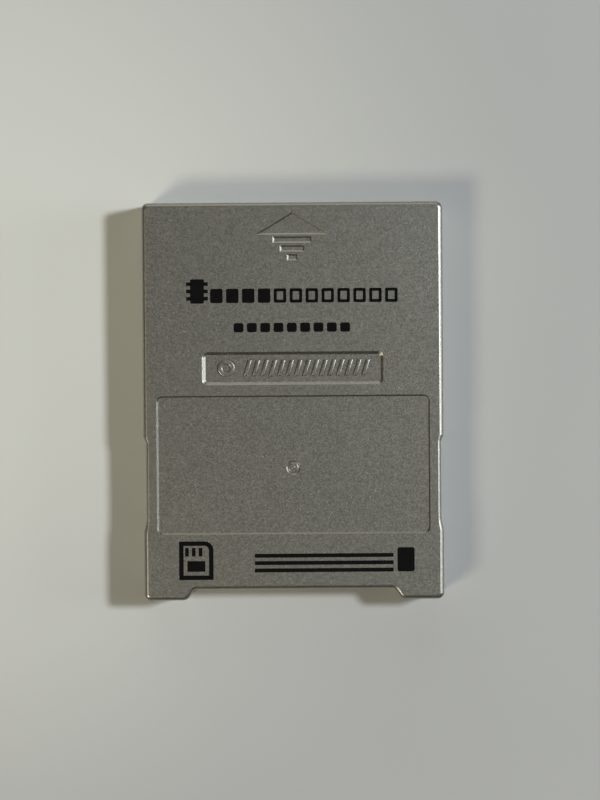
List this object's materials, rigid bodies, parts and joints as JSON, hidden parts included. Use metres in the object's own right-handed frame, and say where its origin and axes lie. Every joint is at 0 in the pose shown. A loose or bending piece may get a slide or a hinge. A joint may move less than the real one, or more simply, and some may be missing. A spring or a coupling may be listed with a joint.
{
  "type": "memory card",
  "caption": "Flat game console memory card: a painted two-part case with a label recess, an insertion arrow and a contact slot in one end.",
  "frame": {"origin": "middle of the flat rear face, under the middle of the card's outline", "axes": "+Z out of the front face with the label recess, +Y towards the connector end that the arrow points to, +X to the right as seen from the front"},
  "size_m": [0.042, 0.0556, 0.008],
  "materials": {
    "case_paint": "silver grey flake paint over moulded plastic, satin",
    "screw_zinc": "zinc plated",
    "board_mask": "green solder mask over glass fibre board",
    "contact_gold": "gold plated copper",
    "chip_epoxy": "black moulding epoxy",
    "lead_tin": "tin plated",
    "ceramic_white": "white ceramic",
    "ceramic_tan": "tan ceramic"
  },
  "bodies": {
    "root": {"upper_case": "case_paint", "lower_case": "case_paint", "case_screw": "screw_zinc", "circuit_board": "board_mask", "contact_pad_1": "contact_gold", "contact_pad_2": "contact_gold", "contact_pad_3": "contact_gold", "contact_pad_4": "contact_gold", "contact_pad_5": "contact_gold", "contact_pad_6": "contact_gold", "contact_pad_7": "contact_gold", "contact_pad_8": "contact_gold", "flash_memory": "chip_epoxy", "flash_memory_leads": "lead_tin", "controller_chip": "chip_epoxy", "controller_leads": "lead_tin", "resonator": "ceramic_white", "voltage_detector": "chip_epoxy", "voltage_detector_leads": "lead_tin", "fuse": "ceramic_white", "bulk_capacitor_1": "ceramic_tan", "bulk_capacitor_2": "ceramic_tan", "capacitor_1": "ceramic_tan", "capacitor_2": "ceramic_tan", "capacitor_3": "ceramic_tan", "capacitor_4": "ceramic_tan", "capacitor_5": "ceramic_tan", "capacitor_6": "ceramic_tan", "resistor_1": "chip_epoxy", "resistor_2": "chip_epoxy", "resistor_3": "chip_epoxy", "resistor_4": "chip_epoxy", "resistor_5": "chip_epoxy", "resistor_6": "chip_epoxy"}
  },
  "joints": []
}
